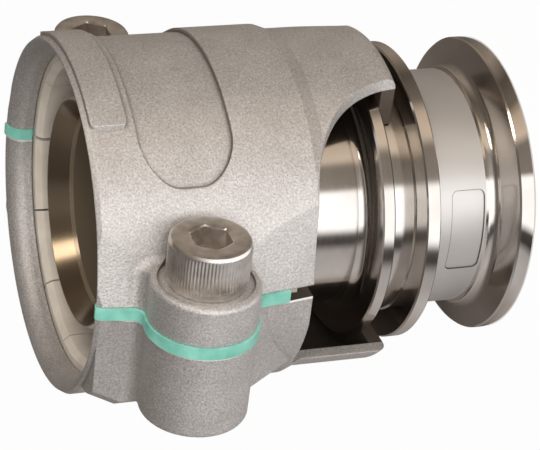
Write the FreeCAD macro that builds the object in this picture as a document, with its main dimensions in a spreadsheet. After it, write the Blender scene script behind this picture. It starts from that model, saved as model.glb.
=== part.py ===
import FreeCAD, Part
import os
import Sketcher
from FreeCAD import Placement, Rotation, Vector

# Two-piece clamp coupling for sanitary hose, 38 mm hose on a 50.5 mm clamp ferrule.
# Frame: Z runs along the hose from the ferrule face at z = 0 to the hose mouth,
# the clamp screws run along Y with their heads towards -Y, the bosses stand at +X and -X.

os.makedirs("parts", exist_ok=True)
doc = FreeCAD.newDocument("hose_fitting")
sheet = doc.addObject("Spreadsheet::Sheet", "Sizes")

# Sizes in millimetres, each named once
sizes = {
    # nipple, ferrule end
    "ferrule_radius": 25.25,
    "ferrule_rim": 2.85,
    "ferrule_slope": 1.89,
    "gasket_groove_inset": 3.5,
    "gasket_groove_half_width": 2.2,
    "gasket_groove_floor_half": 1.0,
    "gasket_groove_depth": 1.65,
    "bore_radius": 16.5,
    "neck_wall": 3.55,
    "nipple_root_round": 2.0,
    "nipple_edge_break": 0.25,
    # nipple, the two collars and the groove that the casing turns in
    "collar_low_bottom": 17.0,
    "collar_low_thickness": 2.5,
    "collar_low_height": 4.9,
    "groove_step": 0.35,
    "groove_width": 5.0,
    "collar_high_thickness": 2.2,
    "collar_high_height": 3.7,
    # nipple, hose shank
    "shank_wall": 1.85,
    "shank_sink": 4.8,
    "rib_height": 0.75,
    "rib_rise": 0.9,
    "rib_fall": 3.4,
    "rib_pitch": 6.5,
    "rib_end_gap": 7.7,
    "end_lip_height": 0.85,
    "end_lip_start": 2.6,
    "end_lip_full": 1.8,
    "end_lip_break": 0.9,
    "end_lip_land": 0.25,
    "end_flare": 1.9,
    "end_flare_length": 4.0,
    # blank marking field on the neck
    "field_gap": 2.21,
    "field_width": 5.8,
    "field_half_length": 7.0,
    "field_offset": 2.5,
    "field_corner": 1.0,
    "field_depth": 0.2,
    # casing, end that turns on the nipple
    "lip_clearance": 0.05,
    "lip_thickness": 2.5,
    "lip_gap": 0.3,
    "collar_clearance": 2.5,
    "casing_wall": 1.9,
    "casing_end_round": 1.8,
    "casing_step": 0.9,
    "casing_step_rise": 2.4,
    "cavity_height": 17.85,
    # casing, barrel and mouth
    "casing_length": 54.05,
    "barrel_wall": 2.2,
    "shoulder_thickness": 2.2,
    "shoulder_depth": 2.6,
    "mouth_bevel": 0.8,
    "mouth_bevel_width": 0.5,
    "mouth_lip": 4.1,
    "throat_depth": 0.7,
    "bell_height": 3.0,
    "bell_radius": 3.1,
    # split between the casing halves, filled by the spacer sheets
    "split_half_gap": 1.0,
    # flat cheeks of the front half, each leaning in from the split to its crease on the barrel
    "side_rise": 0.9,
    "cheek_crease": 9.5,
    "cheek_block_gap": 2.1,
    "cheek_low_sink": 1.7,
    "cheek_low_crease": 14.5,
    "cheek_top_sink": 0.8,
    "cheek_top_crease": 13.2,
    # upright side walls of the back half
    "wall_past_boss": 0.5,
    "wall_corner_drop": 2.7,
    "wall_corner_rise": 2.2,
    "wall_root_drop": 9.3,
    "wall_root_rise": 3.7,
    "wall_low_sink": 6.0,
    "wall_top_sink": 1.8,
    "wall_end_drop": 1.3,
    "wall_top_gap": 0.7,
    "flank_bevel": 0.8,
    "flank_bevel_height": 4.5,
    # screw bosses
    "boss_stand": 3.8,
    "boss_from_mouth": 15.6,
    "boss_radius": 8.75,
    "front_boss_top": 7.8,
    "back_boss_bottom": 16.2,
    "boss_root_round": 2.0,
    "boss_edge_round": 0.9,
    "boss_side_gap": 0.2,
    "spotface_radius": 7.6,
    "spotface_sink": 0.35,
    "screw_clearance": 0.5,
    # screws, M8 x 20 socket head
    "screw_radius": 3.95,
    "screw_fit": 0.05,
    "screw_length": 20.0,
    "head_radius": 6.5,
    "head_height": 8.0,
    "head_bevel": 0.6,
    "hex_across_flats": 6.0,
    "hex_depth": 4.2,
    # open side windows
    "window_rise": 0.1,
    "window_overlap": 0.5,
    "front_window_edge": 9.4,
    "front_window_corner": 19.0,
    "back_window_edge": 18.0,
    "back_window_corner": 1.5,
    # cast recess and raised panel on the front half
    "panel_from_mouth": 0.9,
    "panel_width": 5.9,
    "panel_half_length": 15.9,
    "panel_corner": 0.8,
    "panel_height": 0.6,
    "recess_gap": 1.3,
    "recess_width": 15.4,
    "recess_half_length": 23.4,
    "recess_corner": 6.2,
    "recess_depth": 0.7,
    # resin sleeve halves, slit from the mouth so that they can close on the hose
    "sleeve_wall": 2.6,
    "sleeve_gap": 0.3,
    "sleeve_top_gap": 0.2,
    "sleeve_bevel": 1.0,
    "sleeve_half_gap": 0.3,
    "slit_width": 0.3,
    "slit_foot": 4.0,
    # spacer sheets
    "sheet_proud": 0.35,
    "sheet_foot": 2.2,
    "sheet_inside": 0.2,
    "sheet_hole_fit": 0.35,
}

# Sizes that follow from those, as sums, where a minus takes away
sums = {
    "neck_radius": ("bore_radius", "neck_wall"),
    "ferrule_slope_top": ("ferrule_rim", "ferrule_slope"),
    "gasket_groove_radius": ("ferrule_radius", "-gasket_groove_inset"),
    "groove_floor_radius": ("neck_radius", "groove_step"),
    "collar_low_radius": ("groove_floor_radius", "collar_low_height"),
    "collar_low_top": ("collar_low_bottom", "collar_low_thickness"),
    "collar_high_bottom": ("collar_low_top", "groove_width"),
    "collar_high_top": ("collar_high_bottom", "collar_high_thickness"),
    "collar_high_radius": ("groove_floor_radius", "collar_high_height"),
    "shank_radius": ("bore_radius", "shank_wall"),
    "rib_radius": ("shank_radius", "rib_height"),
    "end_lip_radius": ("shank_radius", "end_lip_height"),
    "end_bore_radius": ("bore_radius", "end_flare"),
    "field_bottom": ("ferrule_slope_top", "field_gap"),
    "field_top": ("field_bottom", "field_width"),
    "lip_radius": ("groove_floor_radius", "lip_gap"),
    "lip_top": ("collar_high_bottom", "-lip_clearance"),
    "casing_end": ("lip_top", "-lip_thickness"),
    "cavity_radius": ("collar_high_radius", "collar_clearance"),
    "casing_end_radius": ("cavity_radius", "casing_wall"),
    "barrel_radius": ("casing_end_radius", "casing_step"),
    "shoulder_bottom": ("casing_end", "cavity_height"),
    "casing_step_start": ("shoulder_bottom", "-casing_step_rise"),
    "pocket_bottom": ("shoulder_bottom", "shoulder_thickness"),
    "pocket_radius": ("barrel_radius", "-barrel_wall"),
    "shoulder_radius": ("pocket_radius", "-shoulder_depth"),
    "throat_radius": ("pocket_radius", "-throat_depth"),
    "mouth": ("casing_end", "casing_length"),
    "mouth_crest_radius": ("barrel_radius", "-mouth_bevel_width"),
    "pocket_top": ("mouth", "-mouth_lip"),
    "bell_start": ("mouth", "-bell_height"),
    "shank_end": ("mouth", "-shank_sink"),
    "side_wall": ("barrel_radius", "side_rise"),
    "cheek_block": ("cheek_crease", "-cheek_block_gap"),
    "window_top": ("shoulder_bottom", "window_rise"),
    "side_low": ("window_top", "-window_overlap"),
    "side_top": ("mouth", "-wall_top_gap"),
    "wall_edge": ("back_boss_bottom", "wall_past_boss"),
    "screw_x": ("side_wall", "boss_stand"),
    "screw_z": ("mouth", "-boss_from_mouth"),
    "screw_clearance_radius": ("screw_radius", "screw_clearance"),
    "thread_hole_radius": ("screw_radius", "screw_fit"),
    "boss_seat": ("front_boss_top", "-spotface_sink"),
    "head_top": ("boss_seat", "head_height"),
    "panel_top": ("mouth", "-panel_from_mouth"),
    "panel_bottom": ("panel_top", "-panel_width"),
    "recess_top": ("panel_bottom", "-recess_gap"),
    "recess_bottom": ("recess_top", "-recess_width"),
    "sleeve_outer_radius": ("pocket_radius", "-sleeve_gap"),
    "sleeve_inner_radius": ("sleeve_outer_radius", "-sleeve_wall"),
    "sleeve_top": ("pocket_top", "-sleeve_top_gap"),
    "sheet_bottom": ("pocket_bottom", "sheet_foot"),
    "sheet_hole_radius": ("screw_radius", "sheet_hole_fit"),
    "sheet_throat_radius": ("throat_radius", "-sheet_inside"),
    "past_mouth": ("mouth", "mouth_lip"),
    "past_side": ("screw_x", "boss_radius", "boss_radius"),
}
for row, (name, value) in enumerate(sizes.items(), start=1):
    sheet.set(f"A{row}", name)
    sheet.set(f"B{row}", str(value))
    sheet.setAlias(f"B{row}", name)
doc.recompute()


def at(*names, sign=1):
    """A coordinate as a sum of named sizes, one with a minus taken away: its value and its expression."""
    value = 0.0
    text = ""
    for name in names:
        turn = -1 if name.startswith("-") else 1
        plain = name.lstrip("-")
        if plain in sums:
            part, words = at(*sums[plain])
            words = f"({words})"
        else:
            part, words = sizes[plain], f"Sizes.{plain}"
        value += turn * part
        if text:
            text += " + " if turn > 0 else " - "
        elif turn < 0:
            text = "-"
        text += words
    if sign < 0:
        text = f"-({text})"
    return sign * value, text


def millimetres(*names):
    """The plain value of a sum of named sizes."""
    return at(*names)[0]


def origin_plane(body, role):
    """The body's own origin plane of that role."""
    return [item for item in body.Origin.OriginFeatures if item.Role == role][0]


def placed_sketch(body, name, role, lift=None):
    """An empty sketch on one of the body's origin planes, lifted off it by a named height."""
    sketch = body.newObject("Sketcher::SketchObject", name)
    sketch.AttachmentSupport = (origin_plane(body, role), [""])
    sketch.MapMode = "FlatFace"
    if lift is not None:
        sketch.AttachmentOffset = Placement(Vector(0, 0, lift[0]), Rotation())
        sketch.setExpression("AttachmentOffset.Base.z", lift[1])
    return sketch


def outline(body, name, role, corners, arcs=None, lift=None):
    """A closed sketch through the corners, with round sides where arcs gives a radius and a bulge side."""
    arcs = arcs or {}
    sketch = placed_sketch(body, name, role, lift)
    count = len(corners)
    points = [Vector(x[0], y[0], 0) for x, y in corners]
    ends = []
    for index in range(count):
        start = points[index]
        stop = points[(index + 1) % count]
        if index not in arcs:
            sketch.addGeometry(Part.LineSegment(start, stop), False)
            ends.append((1, 2))
            continue
        radius, bulge, _ = arcs[index]
        chord = stop - start
        left = Vector(-chord.y, chord.x, 0).normalize()
        rise = (radius ** 2 - (chord.Length / 2) ** 2) ** 0.5
        centre = (start + stop) * 0.5 - left * (bulge * rise)
        middle = centre + left * (bulge * radius)
        if bulge > 0:
            sketch.addGeometry(Part.Arc(stop, middle, start), False)
            ends.append((2, 1))
        else:
            sketch.addGeometry(Part.Arc(start, middle, stop), False)
            ends.append((1, 2))
    for index in range(count):
        after = (index + 1) % count
        sketch.addConstraint(
            Sketcher.Constraint("Coincident", index, ends[index][1], after, ends[after][0]))
    for index, (x, y) in enumerate(corners):
        for kind, axis, coordinate in (("DistanceX", -2, x), ("DistanceY", -1, y)):
            value, text = coordinate
            if text is None and value == 0:
                sketch.addConstraint(Sketcher.Constraint("PointOnObject", index, ends[index][0], axis))
                continue
            number = sketch.addConstraint(
                Sketcher.Constraint(kind, -1, 1, index, ends[index][0], value))
            if text is not None:
                sketch.setExpression(f"Constraints[{number}]", text)
    for index, (radius, bulge, text) in arcs.items():
        number = sketch.addConstraint(Sketcher.Constraint("Radius", index, radius))
        sketch.setExpression(f"Constraints[{number}]", text)
    doc.recompute()
    return sketch


def circles(body, name, role, places, radius, lift=None):
    """A sketch of equal circles at the given places."""
    sketch = placed_sketch(body, name, role, lift)
    for index, (x, y) in enumerate(places):
        sketch.addGeometry(Part.Circle(Vector(x[0], y[0], 0), Vector(0, 0, 1), radius[0]), False)
        for kind, coordinate in (("DistanceX", x), ("DistanceY", y)):
            number = sketch.addConstraint(
                Sketcher.Constraint(kind, -1, 1, index, 3, coordinate[0]))
            sketch.setExpression(f"Constraints[{number}]", coordinate[1])
        number = sketch.addConstraint(Sketcher.Constraint("Radius", index, radius[0]))
        sketch.setExpression(f"Constraints[{number}]", radius[1])
    doc.recompute()
    return sketch


def turned(body, name, kind, sketch, angle=360.0, reverse=False):
    """Turn the sketch about the hose axis, as a solid or as a cut."""
    feature = body.newObject(kind, name)
    feature.Profile = sketch
    feature.ReferenceAxis = (sketch, ["V_Axis"])
    feature.Angle = angle
    feature.Reversed = reverse
    doc.recompute()
    return feature


def pushed(body, name, kind, sketch, length=None, reverse=False, through=False, midplane=False):
    """Pad or pocket the sketch by a named length or right through."""
    feature = body.newObject(kind, name)
    feature.Profile = sketch
    if through:
        feature.Type = "ThroughAll"
    else:
        feature.Length = length[0]
        feature.setExpression("Length", length[1])
    feature.Reversed = reverse
    feature.Midplane = midplane
    doc.recompute()
    return feature


def lofted(body, name, kind, sketches):
    """Straight skins from sketch to sketch, as a solid or as a cut."""
    feature = body.newObject(kind, name)
    feature.Profile = sketches[0]
    feature.Sections = sketches[1:]
    feature.Ruled = True
    doc.recompute()
    return feature


def edges_where(feature, test):
    """Names of the feature's edges that pass the test."""
    return [f"Edge{number}" for number, edge in enumerate(feature.Shape.Edges, start=1) if test(edge)]


def rounded(body, name, base, edge_names, radius):
    """Round the named edges by a named radius."""
    feature = body.newObject("PartDesign::Fillet", name)
    feature.Base = (base, edge_names)
    feature.Radius = radius[0]
    feature.setExpression("Radius", radius[1])
    doc.recompute()
    return feature


def chamfered(body, name, base, edge_names, size):
    """Break the named edges by a chamfer of a named size."""
    feature = body.newObject("PartDesign::Chamfer", name)
    feature.Base = (base, edge_names)
    feature.Size = size[0]
    feature.setExpression("Size", size[1])
    doc.recompute()
    return feature


def ring_edge(radius, height):
    """Test for a round edge about the hose axis of that named radius at that named height."""
    def test(edge):
        curve = edge.Curve
        if not isinstance(curve, Part.Circle):
            return False
        flat = abs(curve.Center.x) < 0.01 and abs(curve.Center.y) < 0.01
        return flat and abs(curve.Radius - radius[0]) < 0.02 and abs(curve.Center.z - height[0]) < 0.02
    return test


def ring_edges(feature, rings):
    """Names of the feature's round edges at the named radii and heights."""
    tests = [ring_edge(at(radius), zero if height is None else at(height)) for radius, height in rings]
    return edges_where(feature, lambda edge: any(test(edge) for test in tests))


zero = (0.0, None)

# Nipple, turned in one piece
# Ferrule, gasket groove, neck, two collars, ribbed shank with a thin flared end.
nipple = doc.addObject("PartDesign::Body", "nipple")
corners = [
    (at("bore_radius"), zero),
    (at("gasket_groove_radius", "-gasket_groove_half_width"), zero),
    (at("gasket_groove_radius", "-gasket_groove_floor_half"), at("gasket_groove_depth")),
    (at("gasket_groove_radius", "gasket_groove_floor_half"), at("gasket_groove_depth")),
    (at("gasket_groove_radius", "gasket_groove_half_width"), zero),
    (at("ferrule_radius"), zero),
    (at("ferrule_radius"), at("ferrule_rim")),
    (at("neck_radius"), at("ferrule_slope_top")),
    (at("neck_radius"), at("collar_low_bottom")),
    (at("collar_low_radius"), at("collar_low_bottom")),
    (at("collar_low_radius"), at("collar_low_top")),
    (at("groove_floor_radius"), at("collar_low_top")),
    (at("groove_floor_radius"), at("collar_high_bottom")),
    (at("collar_high_radius"), at("collar_high_bottom")),
    (at("collar_high_radius"), at("collar_high_top")),
    (at("shank_radius"), at("collar_high_top")),
]
for count in (3, 2, 1, 0):
    foot = ["shank_end", "-rib_end_gap"] + ["-rib_pitch"] * count
    corners.append((at("shank_radius"), at(*foot)))
    corners.append((at("rib_radius"), at(*foot, "rib_rise")))
    corners.append((at("shank_radius"), at(*foot, "rib_fall")))
corners += [
    (at("shank_radius"), at("shank_end", "-end_lip_start")),
    (at("end_lip_radius"), at("shank_end", "-end_lip_full")),
    (at("end_lip_radius"), at("shank_end", "-end_lip_break")),
    (at("end_bore_radius", "end_lip_land"), at("shank_end")),
    (at("end_bore_radius"), at("shank_end")),
    (at("bore_radius"), at("shank_end", "-end_flare_length")),
]
nipple_sketch = outline(nipple, "nipple_section", "XZ_Plane", corners)
nipple_turned = turned(nipple, "nipple_turned", "PartDesign::Revolution", nipple_sketch)
nipple_roots = rounded(nipple, "nipple_roots", nipple_turned, ring_edges(nipple_turned, (
    ("neck_radius", "ferrule_slope_top"),
    ("neck_radius", "collar_low_bottom"),
    ("shank_radius", "collar_high_top"))), at("nipple_root_round"))
nipple_rims = chamfered(nipple, "nipple_rims", nipple_roots, ring_edges(nipple_roots, (
    ("collar_low_radius", "collar_low_bottom"),
    ("collar_low_radius", "collar_low_top"),
    ("collar_high_radius", "collar_high_bottom"),
    ("collar_high_radius", "collar_high_top"),
    ("groove_floor_radius", "collar_low_top"),
    ("groove_floor_radius", "collar_high_bottom"),
    ("ferrule_radius", "ferrule_rim"),
    ("ferrule_radius", None))), at("nipple_edge_break"))


def boss_reach(proud=()):
    """How far along the hose, from the screw's axis, the hollow beside a boss meets the side wall.

    The hollow's round of radius f touches the wall at x = w and the boss circle of radius r about x = s,
    so the reach is sqrt((r + f)^2 - (s - w - f)^2).
    """
    ring, ring_text = at("boss_radius", *proud)
    valley, valley_text = at("boss_root_round", *[f"-{name}" for name in proud])
    across, across_text = at("boss_stand", "-boss_root_round")
    value = ((ring + valley) ** 2 - across ** 2) ** 0.5
    return value, f"sqrt(({ring_text} + {valley_text}) ^ 2 - ({across_text}) ^ 2)"


def from_screw(sign, gap):
    """The height that lies the boss reach and a named gap before or after the screw's axis."""
    axis, axis_text = at("screw_z")
    reach, reach_text = boss_reach()
    extra, extra_text = at(gap)
    mark = "+" if sign > 0 else "-"
    return axis + sign * (reach + extra), f"{axis_text} {mark} ({reach_text} + {extra_text})"


def split_pocket(body, name, side, half_gap):
    """Set the half's split face back from the middle plane."""
    split = outline(body, f"{name}_split_section", "XZ_Plane", [
        (at("past_side", sign=-1), at("collar_low_bottom")), (at("past_side"), at("collar_low_bottom")),
        (at("past_side"), at("past_mouth")), (at("past_side", sign=-1), at("past_mouth"))])
    return pushed(body, f"{name}_split", "PartDesign::Pocket", split, at(half_gap), reverse=side < 0)


def past_crease(side, sink, crease):
    """The point as far past a cheek's crease as the crease is from the split.

    The crease lies on the barrel, so the point is at x = 2 * sqrt(barrel^2 - crease^2) - start.
    """
    start, start_text = at("side_wall", *sink)
    barrel, barrel_text = at("barrel_radius")
    across, across_text = at(crease)
    value = 2 * (barrel ** 2 - across ** 2) ** 0.5 - start
    text = f"2 * sqrt(({barrel_text}) ^ 2 - ({across_text}) ^ 2) - ({start_text})"
    return side * value, f"{side} * ({text})"


def front_cheeks(body, name):
    """Flat cheeks beside the front bosses: a block on the barrel, then one leaning face from end to end."""
    tip = None
    for side in (1, -1):
        mark = "right" if side > 0 else "left"
        block = outline(body, f"{name}_cheek_{mark}_block_section", "XY_Plane", [
            (at("shoulder_radius", sign=side), zero),
            (at("side_wall", "side_rise", sign=side), zero),
            (at("side_wall", "side_rise", sign=side), at("cheek_block", sign=-1)),
            (at("shoulder_radius", sign=side), at("cheek_block", sign=-1)),
        ], lift=at("side_low"))
        pushed(body, f"{name}_cheek_{mark}_block", "PartDesign::Pad", block, at("side_top", "-side_low"))
        stations = (
            ("low", at("side_low"), ("-cheek_low_sink",), "cheek_low_crease"),
            ("before", from_screw(-1, "boss_side_gap"), (), "cheek_crease"),
            ("after", from_screw(1, "boss_side_gap"), (), "cheek_crease"),
            ("top", at("mouth", "split_half_gap"), ("-cheek_top_sink",), "cheek_top_crease"),
        )
        sections = []
        for station, height, sink, crease in stations:
            sections.append(outline(body, f"{name}_cheek_{mark}_{station}", "XY_Plane", [
                (at("side_wall", *sink, sign=side), at("split_half_gap")),
                (at("side_wall", *sink, sign=side), zero),
                (past_crease(side, sink, crease), at(crease, crease, sign=-1)),
                (at("past_side", sign=side), at(crease, crease, sign=-1)),
                (at("past_side", sign=side), at("split_half_gap")),
            ], lift=height))
        tip = lofted(body, f"{name}_cheek_{mark}", "PartDesign::SubtractiveLoft", sections)
    return tip


def back_walls(body, name):
    """Upright walls beside the back bosses, which sink into the barrel at both ends."""
    tip = None
    for side in (1, -1):
        mark = "right" if side > 0 else "left"
        bevel = outline(body, f"{name}_flank_{mark}_section", "XZ_Plane", [
            (at("barrel_radius", "-flank_bevel", sign=side), at("side_low")),
            (at("barrel_radius", "flank_bevel", sign=side),
             at("side_low", "flank_bevel_height", "flank_bevel_height")),
            (at("past_side", sign=side), at("side_low", "flank_bevel_height", "flank_bevel_height")),
            (at("past_side", sign=side), at("side_low")),
        ])
        pushed(body, f"{name}_flank_{mark}", "PartDesign::Pocket", bevel, at("wall_edge"))
        stations = (
            ("low", at("side_low"), ("-wall_low_sink",), ("-wall_end_drop",)),
            ("before", from_screw(-1, "boss_side_gap"), (), ()),
            ("after", from_screw(1, "boss_side_gap"), (), ()),
            ("top", at("side_top"), ("-wall_top_sink",), ("-wall_end_drop",)),
        )
        sections = []
        for station, height, sink, drop in stations:
            sections.append(outline(body, f"{name}_wall_{mark}_{station}", "XY_Plane", [
                (at("shoulder_radius", "-wall_low_sink", sign=side), zero),
                (at("side_wall", *sink, sign=side), zero),
                (at("side_wall", *sink, sign=side), at("wall_edge", *drop)),
                (at("side_wall", *sink, "-wall_corner_drop", sign=side),
                 at("wall_edge", *drop, "wall_corner_rise")),
                (at("side_wall", *sink, "-wall_root_drop", sign=side),
                 at("wall_edge", *drop, "wall_root_rise")),
            ], lift=height))
        tip = lofted(body, f"{name}_wall_{mark}", "PartDesign::AdditiveLoft", sections)
    return tip


def screw_bosses(body, name, side):
    """Round bosses about the screws, each turned with its rim rounded."""
    length = "front_boss_top" if side < 0 else "back_boss_bottom"
    tip = None
    for x_side in (1, -1):
        mark = "right" if x_side > 0 else "left"
        section = outline(body, f"{name}_boss_{mark}_section", "XY_Plane", [
            (at("screw_x", sign=x_side), zero),
            (at("screw_x", "boss_radius", sign=x_side), zero),
            (at("screw_x", "boss_radius", sign=x_side), at(length, "-boss_edge_round", sign=side)),
            (at("screw_x", "boss_radius", "-boss_edge_round", sign=x_side), at(length, sign=side)),
            (at("screw_x", sign=x_side), at(length, sign=side)),
        ], arcs={2: (sizes["boss_edge_round"], -x_side * side, "Sizes.boss_edge_round")}, lift=at("screw_z"))
        tip = body.newObject("PartDesign::Revolution", f"{name}_boss_{mark}")
        tip.Profile = section
        tip.ReferenceAxis = (section, ["Edge5"])
        tip.Angle = 360.0
        doc.recompute()
    return tip


def casing_half(name, side):
    """One cast half: side -1 is the front with the screw heads, side +1 the back with the tapped bosses."""
    front = side < 0
    body = doc.addObject("PartDesign::Body", name)
    section = outline(body, f"{name}_section", "XZ_Plane", [
        (zero, at("casing_end")),
        (at("casing_end_radius"), at("casing_end")),
        (at("casing_end_radius"), at("casing_step_start")),
        (at("barrel_radius"), at("shoulder_bottom")),
        (at("barrel_radius"), at("mouth", "-mouth_bevel")),
        (at("mouth_crest_radius"), at("mouth")),
        (zero, at("mouth")),
    ])
    barrel = turned(body, f"{name}_barrel", "PartDesign::Revolution", section, 180.0, front)
    end_edge = ring_edges(barrel, (("casing_end_radius", "casing_end"),))
    rounded(body, f"{name}_end_round", barrel, end_edge, at("casing_end_round"))

    # cheeks or walls beside the bosses, then the bosses and the hollows between them
    if front:
        front_cheeks(body, name)
    else:
        back_walls(body, name)
    tip = screw_bosses(body, name, side)

    def boss_root(edge):
        box = edge.BoundBox
        tall = box.YLength > 3 and box.XLength < 3 and box.ZLength < 3
        starts = abs(abs(box.XMax if box.Center.x > 0 else box.XMin) - millimetres("side_wall")) < 0.05
        near = abs(box.Center.z - millimetres("screw_z")) < millimetres("boss_radius")
        return tall and starts and near
    root_round = at("boss_root_round")
    if front:
        # the cheek stands past the boss's top by this room, and a round of up to this share of it ends there
        room, room_text = at("cheek_crease", "-front_boss_top")
        share = 1.25
        root_round = (min(root_round[0], share * room), f"min({root_round[1]}; {share} * ({room_text}))")
    tip = rounded(body, f"{name}_boss_roots", tip, edges_where(tip, boss_root), root_round)

    # inside: lip, cavity round the collar, shoulder, sleeve pocket, bell mouth
    inside = outline(body, f"{name}_inside_section", "XZ_Plane", [
        (zero, at("collar_low_bottom")),
        (at("lip_radius"), at("collar_low_bottom")),
        (at("lip_radius"), at("lip_top")),
        (at("cavity_radius"), at("lip_top")),
        (at("cavity_radius"), at("shoulder_bottom")),
        (at("shoulder_radius"), at("shoulder_bottom")),
        (at("shoulder_radius"), at("pocket_bottom")),
        (at("pocket_radius"), at("pocket_bottom")),
        (at("pocket_radius"), at("pocket_top")),
        (at("throat_radius"), at("pocket_top")),
        (at("throat_radius"), at("bell_start")),
        (at("mouth_crest_radius"), at("mouth")),
        (at("mouth_crest_radius"), at("past_mouth")),
        (zero, at("past_mouth")),
    ], arcs={10: (sizes["bell_radius"], 1, "Sizes.bell_radius")})
    tip = turned(body, f"{name}_inside", "PartDesign::Groove", inside)

    # open side windows
    if front:
        for x_side in (1, -1):
            mark = "right" if x_side > 0 else "left"
            window = outline(body, f"{name}_window_{mark}", "XZ_Plane", [
                (at("front_window_edge", sign=x_side), at("collar_low_bottom")),
                (at("front_window_edge", sign=x_side), at("window_top", "-front_window_corner")),
                (at("front_window_edge", "front_window_corner", sign=x_side), at("window_top")),
                (at("past_side", sign=x_side), at("window_top")),
                (at("past_side", sign=x_side), at("collar_low_bottom")),
            ], arcs={1: (sizes["front_window_corner"], x_side, "Sizes.front_window_corner")})
            tip = pushed(body, f"{name}_window_cut_{mark}", "PartDesign::Pocket", window,
                         through=True, reverse=True)
    else:
        window = outline(body, f"{name}_window", "YZ_Plane", [
            (at("split_half_gap", sign=-1), at("collar_low_bottom")),
            (at("back_window_edge"), at("collar_low_bottom")),
            (at("back_window_edge"), at("window_top", "-back_window_corner")),
            (at("back_window_edge", "-back_window_corner"), at("window_top")),
            (at("split_half_gap", sign=-1), at("window_top")),
        ], arcs={2: (sizes["back_window_corner"], -1, "Sizes.back_window_corner")})
        tip = pushed(body, f"{name}_window_cut", "PartDesign::Pocket", window,
                     at("past_side", "past_side"), midplane=True)

    # screw holes, and the spotface that the heads sit in
    places = [(at("screw_x"), at("screw_z")), (at("screw_x", sign=-1), at("screw_z"))]
    hole_radius = at("screw_clearance_radius") if front else at("thread_hole_radius")
    holes = circles(body, f"{name}_hole_circles", "XZ_Plane", places, hole_radius)
    tip = pushed(body, f"{name}_holes", "PartDesign::Pocket", holes, at("screw_length", "screw_length"),
                 reverse=front)
    if front:
        face = circles(body, f"{name}_spotface_circles", "XZ_Plane", places, at("spotface_radius"),
                       lift=at("boss_seat"))
        tip = pushed(body, f"{name}_spotfaces", "PartDesign::Pocket", face, at("head_top"), reverse=True)

    # split face, set back by half of the spacer sheet
    body.Tip = split_pocket(body, name, side, "split_half_gap")
    doc.recompute()
    return body


def rounded_rectangle(body, name, role, middle, half_length, low, high, corner):
    """A sketch of a rectangle with round corners, level with the hose axis or across it."""
    ends = [(middle[0] + sign * half_length[0], f"{middle[1]} + {sign} * {half_length[1]}") for sign in (-1, 1)]
    near = [(ends[0][0] + corner[0], f"{ends[0][1]} + {corner[1]}"),
            (ends[1][0] - corner[0], f"{ends[1][1]} - {corner[1]}")]
    low_in = (low[0] + corner[0], f"{low[1]} + {corner[1]}")
    high_in = (high[0] - corner[0], f"{high[1]} - {corner[1]}")
    corners = [(near[0], low), (near[1], low), (ends[1], low_in), (ends[1], high_in),
               (near[1], high), (near[0], high), (ends[0], high_in), (ends[0], low_in)]
    return outline(body, name, role, corners, arcs={side: (corner[0], -1, corner[1]) for side in (1, 3, 5, 7)})


def skin_block(name, prism, inner, outer):
    """The part of a prism that lies between two named radii about the hose axis."""
    skins = []
    for part, radius in (("inner", inner), ("outer", outer)):
        tube = doc.addObject("Part::Cylinder", f"{name}_{part}")
        tube.setExpression("Radius", radius[1])
        tube.setExpression("Height", at("past_mouth")[1])
        skins.append(tube)
    wall = doc.addObject("Part::Cut", f"{name}_skin")
    wall.Base = skins[1]
    wall.Tool = skins[0]
    block = doc.addObject("Part::Common", name)
    block.Base = prism
    block.Tool = wall
    doc.recompute()
    return block


def joined(kind, name, base, tool):
    """Cut the tool from the base or fuse it on."""
    feature = doc.addObject(kind, name)
    feature.Base = base
    feature.Tool = tool
    doc.recompute()
    return feature


# Blank marking field on the neck, sunk a hair below the skin
field_prism = doc.addObject("PartDesign::Body", "field_prism")
field_sketch = rounded_rectangle(field_prism, "field_outline", "YZ_Plane", at("-field_offset"),
                                 at("field_half_length"), at("field_bottom"), at("field_top"), at("field_corner"))
pushed(field_prism, "field_pad", "PartDesign::Pad", field_sketch, at("past_side"), reverse=True)
field = skin_block("marking_field", field_prism, at("neck_radius", "-field_depth"),
                   at("neck_radius", "nipple_root_round"))
nipple_node = joined("Part::Cut", "nipple_node", nipple, field)

# Front half with the pill-shaped recess and the raised panel at the mouth
front_cast = casing_half("casing_front_cast", -1)
middle_plane = (0.0, "0.0")
recess_prism = doc.addObject("PartDesign::Body", "recess_prism")
recess_sketch = rounded_rectangle(recess_prism, "recess_outline", "XZ_Plane", middle_plane,
                                  at("recess_half_length"), at("recess_bottom"), at("recess_top"),
                                  at("recess_corner"))
pushed(recess_prism, "recess_pad", "PartDesign::Pad", recess_sketch, at("past_side"))
recess = skin_block("recess", recess_prism, at("barrel_radius", "-recess_depth"),
                    at("barrel_radius", "barrel_wall"))
panel_prism = doc.addObject("PartDesign::Body", "panel_prism")
panel_sketch = rounded_rectangle(panel_prism, "panel_outline", "XZ_Plane", middle_plane,
                                 at("panel_half_length"), at("panel_bottom"), at("panel_top"),
                                 at("panel_corner"))
pushed(panel_prism, "panel_pad", "PartDesign::Pad", panel_sketch, at("past_side"))
panel = skin_block("panel", panel_prism, at("mouth_crest_radius", "-mouth_bevel_width"),
                   at("barrel_radius", "panel_height"))
front_panelled = joined("Part::Fuse", "front_panelled", front_cast, panel)
front_node = joined("Part::Cut", "front_node", front_panelled, recess)

# Back half with the tapped bosses
back_node = casing_half("casing_back_cast", 1)


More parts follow.
